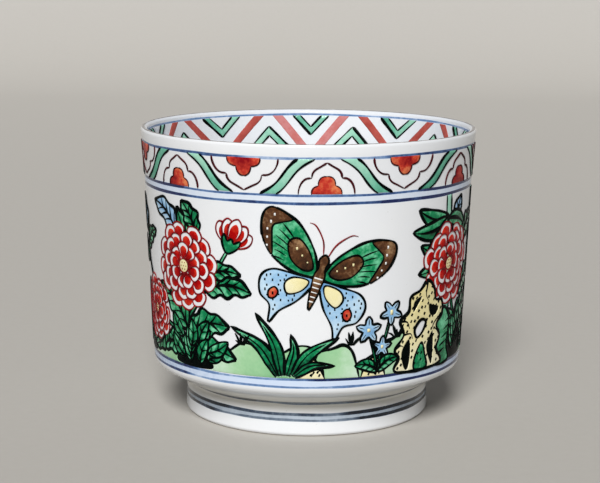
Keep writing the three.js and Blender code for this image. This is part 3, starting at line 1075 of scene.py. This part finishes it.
def butterfly(centre, size, tilt, line=PLAIN):
    """A butterfly seen from above with its head along its own +Y."""

    def local(points, side=1):
        return turned(np.asarray(points, float) * [side, 1], tilt, centre, size)

    def patch(enamel, points, side, width, *shade):
        outline = smooth(local(points, side), closed=True)
        shape(enamel, outline, line * width, from_point(centre, *shade) if shade else None)
        return outline

    for side in (1, -1):
        hind = patch("blue", HIND_WING, side, 1, size, 0.1)
        spots = local(scattered(84, side) * [0.74, -0.84] + [0.08, -0.04], side)
        for spot in spots[inside(spots, hind) & (nearest(spots, hind) > 0.8)]:
            dot("black", spot, size * 0.035)
        patch("yellow", HIND_CELL, side, 0.8, size * 0.6)
        patch("coral", EYE_SPOT, side, 0.8)
        dot("black", local([0.56, -0.4], side), size * 0.04)
        patch("green", FORE_WING, side, 1.1, size * 1.5, 0.3)
        patch("aubergine", FORE_BAND, side, 0.8, size * 2.2)
        patch("aubergine", FORE_CELL, side, 0.8, size * 1.1)
        for i in range(3):
            dot("yellow", local([0.22 + 0.1 * i, 0.18 + 0.075 * i], side), size * (0.032 + 0.006 * i))
        for i in range(6):
            start = local([0.5 + 0.01 * i, 0.46 - 0.07 * i], side)
            end = local([0.72 + 0.02 * i * (i < 4), 0.62 - 0.1 * i], side)
            ink(smooth([start, (start + end) / 2 + [0, 0.15], end]), line * 0.7)
        for i in range(5):
            x = 0.86 + 0.02 * min(i, 2) - 0.03 * max(i - 2, 0)
            dot("white", local([x, 0.7 - 0.115 * i], side), size * 0.04)
        brush("rouge", smooth(local(FEELER, side)), 0.4)
    shape("aubergine", smooth(local(INSECT_BODY), 0.4, True), line * 0.8)
    for i in range(6):
        half = 0.06 - 0.006 * i
        brush("white", local([(-half, -0.07 * i), (half, -0.07 * i)]), size * 0.022, 0)


# Outlines of the rock, as shares of its size from the middle of its foot.
ROCK_FACE = (
    (-0.46, 0), (-0.44, 0.16), (-0.5, 0.26), (-0.38, 0.42), (-0.44, 0.58), (-0.32, 0.68),
    (-0.3, 0.84), (-0.16, 0.9), (-0.04, 1.0), (0.08, 0.9), (0.12, 0.76), (0.24, 0.74),
    (0.27, 0.58), (0.16, 0.46), (0.24, 0.32), (0.18, 0.18), (0.26, 0),
)
ROCK_FLANK = ((0.16, 0), (0.12, 0.3), (0.18, 0.52), (0.32, 0.64), (0.46, 0.46), (0.42, 0.2), (0.48, 0))
ROCK_HOLE = ((-0.22, 0.46), (-0.13, 0.56), (-0.04, 0.53), (-0.09, 0.42), (-0.18, 0.36))
ROCK_HOLLOWS = (
    ((-0.36, 0.04), (-0.4, 0.22), (-0.3, 0.36), (-0.27, 0.2), (-0.3, 0.02)),
    ((0.03, 0.6), (0.0, 0.72), (0.08, 0.7), (0.19, 0.66), (0.13, 0.58)),
    ((-0.25, 0.66), (-0.24, 0.78), (-0.12, 0.83), (-0.18, 0.74)),
    ((0.06, 0.06), (-0.01, 0.24), (0.09, 0.4), (0.12, 0.24), (0.11, 0.02)),
)
ROCK_CREASES = (
    ((-0.43, 0.58), (-0.34, 0.56), (-0.3, 0.48)),
    ((-0.37, 0.42), (-0.28, 0.42), (-0.25, 0.36)),
    ((-0.04, 0.99), (-0.06, 0.84), (-0.01, 0.76)),
    ((0.25, 0.58), (0.12, 0.5), (0.07, 0.42)),
    ((0.23, 0.33), (0.17, 0.4), (0.1, 0.44)),
    ((-0.5, 0.26), (-0.42, 0.3), (-0.38, 0.28)),
)
ROCK_CLEFT = ((-0.2, 0), (-0.2, 0.14), (-0.1, 0.3), (-0.03, 0.14), (0.0, 0))


def rock(base, size, flip=1):
    """A pitted garden rock: a pale face with dots, dark hollows and a green flank."""

    def local(points):
        return np.array(points) * [size * flip, size] + base

    def rounded_off(points):
        return smooth(local(points), 0.6, True)

    face, hole = rounded_off(ROCK_FACE), rounded_off(ROCK_HOLE)
    shape("green", rounded_off(ROCK_FLANK), BOLD, from_point(base, size * 0.8))
    for i in range(5):
        x, z = 0.2 + 0.04 * i, 0.1 + 0.09 * i
        ink(local([(x, z), (x + 0.16, z + 0.05)]), PLAIN, 2)
    shape("yellow", face, BOLD * 1.1, from_point(local((-0.3, 1)), size * 1.2), holes=[hole])
    ink(hole, BOLD, closed=True)
    for hollow in ROCK_HOLLOWS:
        fill("black", rounded_off(hollow), lift=0.2)
    for crease in ROCK_CREASES:
        ink(smooth(local(crease)), PLAIN, (0, 4))
    shape("green", rounded_off(ROCK_CLEFT), PLAIN)
    spots = local(scattered(110) * [0.7, 0.94] + [-0.46, 0.03])
    pits(spots[inside(spots, face) & ~inside(spots, hole)], PLAIN)


def mound(enamel, crest, shade, lift):
    """A shape that stands on the lower blue line under a crest."""
    base = straight([[crest[-1, 0], GROUND], [crest[0, 0], GROUND]])[1:-1]
    outline = np.vstack([crest, base])
    fill(enamel, outline, shade, lift)
    return outline


def boulder(left, right, height, enamel="moss", dots=0):
    """A round boulder, dotted or plain."""
    x = np.linspace(0, 1, 9)
    rise = np.sin(pi * x) ** 0.45 * (1 + 0.1 * np.sin(9 * x + left))
    crest = smooth(np.c_[left + (right - left) * x, GROUND + height * rise], 0.7)
    corner = np.array([left, GROUND + height])
    outline = mound(enamel, crest, from_point(corner, (right - left) * 1.2), 0.14)
    ink(crest, BOLD, 2)
    spots = scattered(dots, left) * [right - left, height] + [left, GROUND]
    pits(spots[inside(spots, outline)], 0.62)


def hill(left, right, height, seed):
    """A low hill of pale wash with a dark crest."""
    x = np.linspace(left, right, 14)
    rise = np.sin(pi * (x - left) / (right - left)) ** 0.6 * (1 + 0.22 * np.sin(3 * x / height + seed))
    crest = smooth(np.c_[x, GROUND + height * rise], 0.8)
    crest[:, 1] = np.maximum(crest[:, 1], GROUND + 0.05)
    mound("moss", crest, from_point(((left + right) / 2, GROUND), height * 2.4), 0.1)
    ink(crest[len(crest) // 12 : len(crest) * 11 // 12], PLAIN, 4)


def bamboo(foot, top, width, leaves):
    """A bamboo cane, and leaves given as (share of the height, dx, dz, width)."""
    foot, top = np.array(foot), np.array(top)
    stem([foot, (foot + top) / 2 + [0.8, 0], top], width, "mint", (0.22, 0.45, 0.66, 0.85))
    for share, dx, dz, wide in leaves:
        root = foot + (top - foot) * share
        leaf(root, root + [dx, dz], wide, 0.1, veins=0)


# Heights of the edges of the border outside, and of the one inside.
BAND_LOW, BAND_HIGH = 70.55, 80.15
INNER_LOW, INNER_HIGH = 67.6, 82.1


def across(theta):
    """Place on the unrolled wall of an angle in degrees, 0 at the front."""
    return np.radians(theta) * UNROLLED


def ribbon_crossings():
    """Angles at which the green ribbon crosses the band's low and high edge, from the left of the
    front, and the angle of the medallion after each crossing."""
    front = [(-67.6, -54.6), (-27.4, -40.0), (-12.9, -0.5), (25.7, 12.9), (41.2, 55.6)]
    middles = [-47.6, -20.9, 6.0, 32.7, 61.3]
    more, run = 9, 11.0
    gap = (front[0][0] + 360 - front[-1][1] - more * run) / (more + 1)
    nears = [front[-1][1] + gap + i * (run + gap) for i in range(more)]
    rest = [(near + run, near) if i % 2 == 0 else (near, near + run) for i, near in enumerate(nears)]
    for here, after in zip(rest, [*rest[1:], (front[0][0] + 360, front[0][1] + 360)]):
        edge = 0 if here[1] > here[0] else 1
        middles.append((here[edge] + after[edge]) / 2)
    return [(low, high, (middle + 90) % 360 - 90) for (low, high), middle in zip(front + rest, middles)]


def ribbon(low, high, deep, width=2.35):
    """One S-shaped crossing of the ribbon, cut off level by the band's edges."""
    q = np.linspace(-1, 1, 17)
    z = (BAND_LOW + BAND_HIGH) / 2 + q * (BAND_HIGH - BAND_LOW) / 2
    x = across((low + high) / 2 + (high - low) / 2 * (0.68 * q + 0.32 * q**3))
    half = width / 2 * np.sqrt(1 + np.minimum(np.abs(np.gradient(x, z)), 1.55) ** 2)
    left, right = np.c_[x - half, z], np.c_[x + half, z]
    shade = from_point(left[0], 40) if deep else from_point(left[0], 10, 0.3)
    fill("mint", np.vstack([left, right[::-1]]), shade)
    fine, bold = FINE * 1.2, BOLD * 0.85
    ink(left, fine if low > high else bold, 0.6)
    ink(right, bold if low > high else fine, 0.6)


def border_shape(theta, half_width, base, rise, lobes):
    """The strokes of both halves in order, from the lobes of the right half."""
    left, right = (
        [
            smooth([(across(theta + hand * a * half_width), base + b * rise) for a, b in lobe], 0.5)
            for lobe in lobes
        ]
        for hand in (-1, 1)
    )
    return [*left, *(lobe[::-1] for lobe in right[::-1])]


# Lobes of the frames and the trefoils, as (share of half the width, share of the rise).
CARTOUCHE = (
    ((1.0, 0.0), (0.975, 0.18), (0.88, 0.38), (0.72, 0.51), (0.53, 0.53)),
    ((0.53, 0.53), (0.505, 0.67), (0.41, 0.79), (0.21, 0.9), (0.0, 1.02)),
)
LOW_TREFOIL = (
    ((1.0, 0.0), (0.98, 0.2), (0.85, 0.38), (0.66, 0.46), (0.56, 0.5)),
    ((0.56, 0.5), (0.55, 0.68), (0.42, 0.9), (0.2, 0.99), (0.0, 1.0)),
)
HIGH_TREFOIL = (
    ((1.0, 0.0), (0.99, 0.18), (0.88, 0.36), (0.66, 0.46), (0.46, 0.5)),
    ((0.46, 0.5), (0.42, 0.68), (0.32, 0.86), (0.16, 0.98), (0.0, 1.0)),
)


def medallion(theta, side, shaded_from_heart, deep):
    """A lobed frame on one edge of the band with a trefoil in it. side is 1 on the low edge."""
    if side > 0:
        base, half_width, rise, heart_width, lobes = BAND_LOW, 9.1, 8.45, 4.9, LOW_TREFOIL
    else:
        base, half_width, rise, heart_width, lobes = BAND_HIGH, 11.5, -8.65, 5.7, HIGH_TREFOIL
    for lobe in border_shape(theta, half_width, base, rise, CARTOUCHE):
        brush("maroon", lobe, FINE * 1.2, 0.4)
    strokes = border_shape(theta, heart_width, base, 4.95 * side, lobes)
    outline = np.vstack(strokes)
    keep = np.diff(distances(outline), prepend=-1) > 0.05
    start, reach = (0, 6.5) if shaded_from_heart else (heart_width, 8.5)
    fill("coral", outline[keep], from_point((across(theta - start), base), reach * (3 if deep else 1)))
    for stroke in strokes:
        brush("maroon", stroke, FINE * 0.8, 0.4)


def outer_border():
    for i, (low, high, middle) in enumerate(ribbon_crossings()):
        ribbon(low, high, i % 4 == 0)
        medallion(middle, 1 if high > low else -1, i % 2 == 1, i % 8 == 4)


def chevron(theta, half_width, base, outer_tip, inner_tip):
    """A green V with its open side on a level line."""

    def bent(tip, half):
        return [[across(theta - half), base], [across(theta), tip], [across(theta + half), base]]

    outer = bent(outer_tip, half_width)
    inner = bent(inner_tip, half_width * (inner_tip - base) / (outer_tip - base))
    if outer_tip < base:
        outer, inner = outer[::-1], inner[::-1]
    outline = np.vstack([straight(outer), straight(inner[::-1])])
    fill("mint", outline, from_point(outer[0], 16, 0.12))
    for v, first, second in ((outer, BOLD, FINE), (inner, FINE, PLAIN)):
        ink(straight(v[:2]), first, 0.5)
        ink(straight(v[1:]), second, 0.5)


def inner_border():
    """A red zigzag round the inside of the lip with green chevrons nested above and below it."""
    peaks = [122.1, 162.0, 196.0, 237.3]
    more = 6
    step = (peaks[0] + 360 - peaks[-1]) / more
    peaks += [peaks[-1] + step * i for i in range(1, more)]
    half = 1.7
    for i, (peak, after) in enumerate(zip(peaks, [*peaks[1:], peaks[0] + 360])):
        valley = (peak + after) / 2
        tone = 0.92 if i == 1 else 0.25
        for sign, start in ((1, peak), (-1, after)):
            top = np.array([across(start) + sign * 3.1, INNER_HIGH])
            foot = np.array([across(valley), 69.2])
            point = foot - [0, half * (top - foot)[1] / abs((top - foot)[0])]
            path = straight([top, foot])
            outline = np.vstack([path - [half, 0], point, path[::-1] + [half, 0]])
            fill("rust", outline, lambda p, tone=tone: np.full(len(p), tone), 0.1)
        chevron(valley, (after - peak) * 0.21, INNER_HIGH, 76.0, 78.5)
    for peak in peaks:
        chevron(peak, 14.0, INNER_LOW, 78.8, 75.9)


def shrub(centre, width, height, count, seed):
    """A dense little bush: small leaves in front of a dark gap."""
    share = np.linspace(0, 1, 13)
    rise = height * np.sin(pi * share) ** 0.4 * (0.62 + 0.12 * np.cos(5 * tau * share))
    crest = np.c_[centre[0] + (share - 0.5) * width * 1.1, centre[1] - 0.6 + rise]
    fill("black", smooth(crest, closed=True), lift=0.1)
    for i, (a, b) in enumerate(scattered(count, seed)):
        root = np.add(centre, ((a - 0.5) * width, b * height * 0.6))
        lean = (a - 0.5) * 2.2 + 0.3 * sin(3 * i + seed)
        tip = root + height * 0.62 * np.array([sin(lean), cos(lean)])
        leaf(root, tip, height * 0.3, 0.08 * (-1) ** i, veins=2, line=PLAIN)


def spray(leaves, lobes=3, enamel="green"):
    """Leaves given as (root x and z, tip x and z, width, bow)."""
    for x, z, tip_x, tip_z, width, bow in leaves:
        leaf((x, z), (tip_x, tip_z), width, bow, lobes, enamel)


def bellflowers(foot, flowers):
    """Small blue flowers, given as (x, z, size, turn), on stalks from one foot."""
    for x, z, size, turn in flowers:
        stem([foot, [(x + foot[0]) / 2, (z + foot[1]) / 2 + 0.5], [x, z]], 0.8)
        bellflower((x, z), size, turn)
    leaf(foot, np.add(foot, (7, 3.2)), 3.6, 0.15, veins=3, line=PLAIN)
    leaf(foot, np.add(foot, (-7, 1.8)), 3.4, -0.15, veins=3, line=PLAIN)


def front_picture():
    """Chrysanthemums at the left, a butterfly over grass in the middle, rock and bamboo at the right."""
    hill(-82, -52, 7.0, 2.4)
    hill(-60, -22, 6.5, 0.4)
    hill(44, 80, 8.5, 4.4)
    hill(-34, 16, 8.5, 1.7)
    hill(4, 40, 5.5, 3.1)
    shrub((-67, 20.3), 15, 17, 15, 0.4)
    stem([[-58, 40], [-62, 47], [-62.5, 55]], 1.0)
    spray(((-62, 47, -71.5, 52, 6.2, 0.14), (-62.2, 49.5, -53.5, 56, 5.4, 0.14)))
    blue_leaves = (
        (-62.5, 54, -70.5, 64.5, 7.2, -0.12), (-41, 57, -53, 64.8, 7.8, -0.14), (50, 56, 53.5, 67, 6.4, 0.1)
    )
    spray(blue_leaves, 2, "blue")
    stem([[-35, 21], [-38, 29], [-36.5, 38], [-37, 46]], 1.5)
    stem([[-37, 26], [-46, 30], [-54, 32]], 1.2)
    stem([[-37.4, 33], [-29, 44], [-22.5, 54]], 1.1)
    leaves = (
        (-37, 24, -52, 22.5, 7.8, -0.14), (-36, 22.5, -20.5, 23.5, 7.6, 0.16),
        (-48, 30, -60, 21.5, 6.6, 0.14), (-37.5, 30, -51.5, 41.5, 8.6, -0.12),
        (-37.5, 28.5, -22.5, 32.5, 9.0, 0.14), (-30, 42, -15.5, 42.5, 7.6, 0.15),
        (-31, 45, -18.5, 47.5, 5.6, 0.15), (-27.5, 47, -40.5, 64.5, 7.4, 0.08),
        (-33, 57, -38.5, 66.5, 6.4, -0.1),
    )
    spray(leaves)
    shrub((-36, 20.3), 13, 13, 11, 0.9)
    chrysanthemum((-38.5, 48), 12.6, 12, 0.4)
    chrysanthemum((-56, 33), 9.6, 10, 1.9)
    bud((-22, 55), 1.2, 8.6)
    butterfly((3, 47.5), 19.0, -0.3)
    boulder(1, 15, 9.5)
    boulder(-3, 5, 5.6, "yellow", 26)
    blade(((-8, 20.0), (-13, 28), (-22, 33)), 3.4)
    blade(((-7, 20.0), (-9, 29), (-14.5, 37.5)), 3.2)
    blade(((-5.5, 20.0), (-3.5, 27), (-4.5, 32)), 2.9)
    blade(((-4, 20.0), (1, 26.5), (9, 31)), 3.3)
    blade(((-3.5, 20.0), (1.5, 23), (8, 23)), 2.4)
    bamboo_leaves = (
        (0.86, 12, -4, 4.8), (0.66, 10, 5, 4.6), (0.66, -12, 3, 4.8), (0.66, -12.5, -5, 5.0),
        (0.86, -13, 3.6, 5.2), (0.86, -15, -2.5, 5.2), (0.86, -9, -8, 4.8), (0.45, -9, 6, 4.4),
    )
    bamboo((47, 20), (45.5, 67.7), 3.4, bamboo_leaves)
    bamboo_leaves = ((0.45, 10, 6, 4.6), (0.45, 11, -4, 4.6), (0.85, -9, -6, 4.8), (0.85, 9, -5, 4.6))
    bamboo((64, 20), (65.5, 67.7), 3.2, bamboo_leaves)
    leaves = (
        (53, 26, 65, 24, 7.4, 0.14), (53, 31, 68, 32.5, 8.4, 0.14),
        (56, 38, 70, 43, 8.0, 0.14), (55, 53, 67, 60, 7.6, 0.12),
    )
    spray(leaves)
    stem([[53.5, 20.5], [53, 30], [49, 40]], 1.4)
    chrysanthemum((47.5, 48), 12.2, 11, 2.2)
    boulder(20, 33, 11.5)
    boulder(15.5, 23, 5.2, "yellow", 26)
    bellflowers((20.5, 20.8), ((17.5, 32.5, 4.0, 0.3), (24.5, 37, 3.8, 0.9), (21.8, 27.5, 3.2, 1.5)))
    shrub((56, 20.3), 13, 13, 10, 0.7)
    rock((38.5, 19.5), 25.0)
    tuft((-18.5, 28.0), 4.0, 4)
    tuft((12.5, 28.6), 4.2, 2)
    tuft((26.8, 29.6), 4.4, 5)


def back_picture():
    """A second group on the far side, from the same things."""
    hill(76, 124, 7.0, 2.0)
    hill(172, 218, 7.5, 5.2)
    hill(118, 176, 8.5, 0.9)
    bamboo_leaves = (
        (0.45, -9, 7, 4.6), (0.45, -11, -2, 4.6), (0.47, 11, -3, 4.6), (0.66, 12, 6, 4.8),
        (0.66, 12, -2, 4.8), (0.86, 11, 2, 4.8), (0.86, -9, 4, 4.6), (0.84, -11, -3, 4.8),
    )
    bamboo((90, 20), (87, 67.7), 3.4, bamboo_leaves)
    rock((104, 19.5), 26.0, -1)
    boulder(118, 129, 10.5)
    boulder(113.5, 120, 5.2, "yellow", 26)
    stem([[150, 21], [147, 32], [150, 42]], 1.5)
    stem([[148, 28], [159, 38], [167, 52]], 1.1)
    stem([[148, 30], [138, 38], [131, 46]], 1.2)
    leaves = (
        (150, 23, 165, 23, 7.4, 0.16), (148, 26, 133.5, 25, 8.0, -0.14),
        (148, 32, 162.5, 30.5, 8.6, 0.13), (148, 36, 137, 50, 7.6, -0.12),
        (158, 37, 171.5, 40, 8.0, 0.14), (161, 43, 152, 62, 7.4, 0.1),
        (134, 46, 124, 36, 7.0, 0.12),
    )
    spray(leaves)
    chrysanthemum((152, 47), 11.6, 12, 0.9)
    chrysanthemum((130.5, 46.5), 9.6, 10, 2.6)
    bud((167, 53), 1.15, 8.4)
    butterfly((111.5, 55), 10.5, 0.4, FINE)
    butterfly((188.5, 48.5), 17.0, -0.2)
    blade(((190, 20.0), (186, 27), (178, 31.5)), 3.2)
    blade(((191, 20.0), (190, 28), (186.5, 34)), 3.0)
    blade(((192, 20.0), (196, 27), (204, 29.5)), 3.2)
    blade(((193, 20.0), (198, 23), (204, 22.5)), 2.4)
    bellflowers((175, 20.8), ((173.5, 28, 3.8, 0.3), (179, 33, 3.6, 1.3)))
    bellflowers((211.5, 20.8), ((207, 38, 4.2, 0.9), (213, 31, 3.6, 1.5)))
    tuft((83, 22.0), 4.4, 1)
    tuft((124, 29.3), 4.4, 4)
    tuft((184, 22.6), 4.4, 2)
    tuft((201.5, 24.0), 4.2, 6)


def paint_pot():
    front_picture()
    back_picture()
    outer_border()
    paint(outside_wall, "outside")
    inner_border()
    paint(inside_wall, "inside")


def make_stage():
    """A plain pale floor that curves up into a plain wall behind."""
    reach, rise, bend, back = 2400, 2600, 500, 1500
    curve = arc((back - bend, bend), bend, -pi / 2, 0)
    profile = np.vstack([[[-reach, 0]], curve, [[back, rise]]])
    points = [(x, y, z) for y, z in profile for x in (-reach, reach)]
    faces = [(2 * i, 2 * i + 1, 2 * i + 3, 2 * i + 2) for i in range(len(profile) - 1)]
    stage = mesh_object("floor_and_wall", points, faces)
    finish = Finish("plain_floor", 0.85, Specular_IOR_Level=0.2)
    up_the_wall = finish.between(finish.height(), 0, bend * MM)
    plain = finish.mix(up_the_wall, (183, 180, 174), (164, 164, 166))
    flecks = finish.between(finish.noise(3, 2), 0, 1, 0, 0.04)
    finish.colour(finish.mix(flecks, plain, (255, 255, 255)))
    stage.data.materials.append(finish.material)


def make_lights():
    """One soft light from the front and above, a little to the left, in a dim pale room."""
    sun = bpy.data.lights.new("key_light", "SUN")
    sun.energy = 3.6
    sun.angle = radians(22)
    sun.color = (1.0, 0.988, 0.972)
    azimuth, height = radians(-7), radians(41)
    placed("key_light", sun).rotation_euler = (pi / 2 - height, 0, azimuth)
    world = bpy.data.worlds.new("soft_room")
    bpy.context.scene.world = world
    world.use_nodes = True
    background = world.node_tree.nodes["Background"]
    background.inputs["Color"].default_value = linear(236, 240, 248)
    background.inputs["Strength"].default_value = 0.075


# The camera of the photograph, fitted to the painted and turned rings of the pot.
CAMERA_PLACE = (0.0, -476.7, 135.1)
CAMERA_DOWN = radians(10.21)
CAMERA_TURN = radians(-0.27)
CAMERA_ROLL = radians(-0.35)
CAMERA_LENS = 97.8
SENSOR_WIDTH = 36.0


def make_camera():
    data = bpy.data.cameras.new("camera")
    data.lens = CAMERA_LENS
    data.sensor_width = SENSOR_WIDTH
    data.clip_start, data.clip_end = 0.01, 20
    camera = placed("camera", data)
    pose = Matrix.Translation(Vector(CAMERA_PLACE) * MM)
    for angle, axis in ((-CAMERA_TURN, "Z"), (pi / 2 - CAMERA_DOWN, "X"), (-CAMERA_ROLL, "Z")):
        pose = pose @ Matrix.Rotation(angle, 4, axis)
    camera.matrix_world = pose
    bpy.context.scene.camera = camera


def make_everything():
    make_pot()
    paint_pot()
    make_ash()
    make_charcoal()
    make_stage()
    make_lights()
    make_camera()


bpy.context.scene.view_settings.view_transform = "Standard"
make_everything()
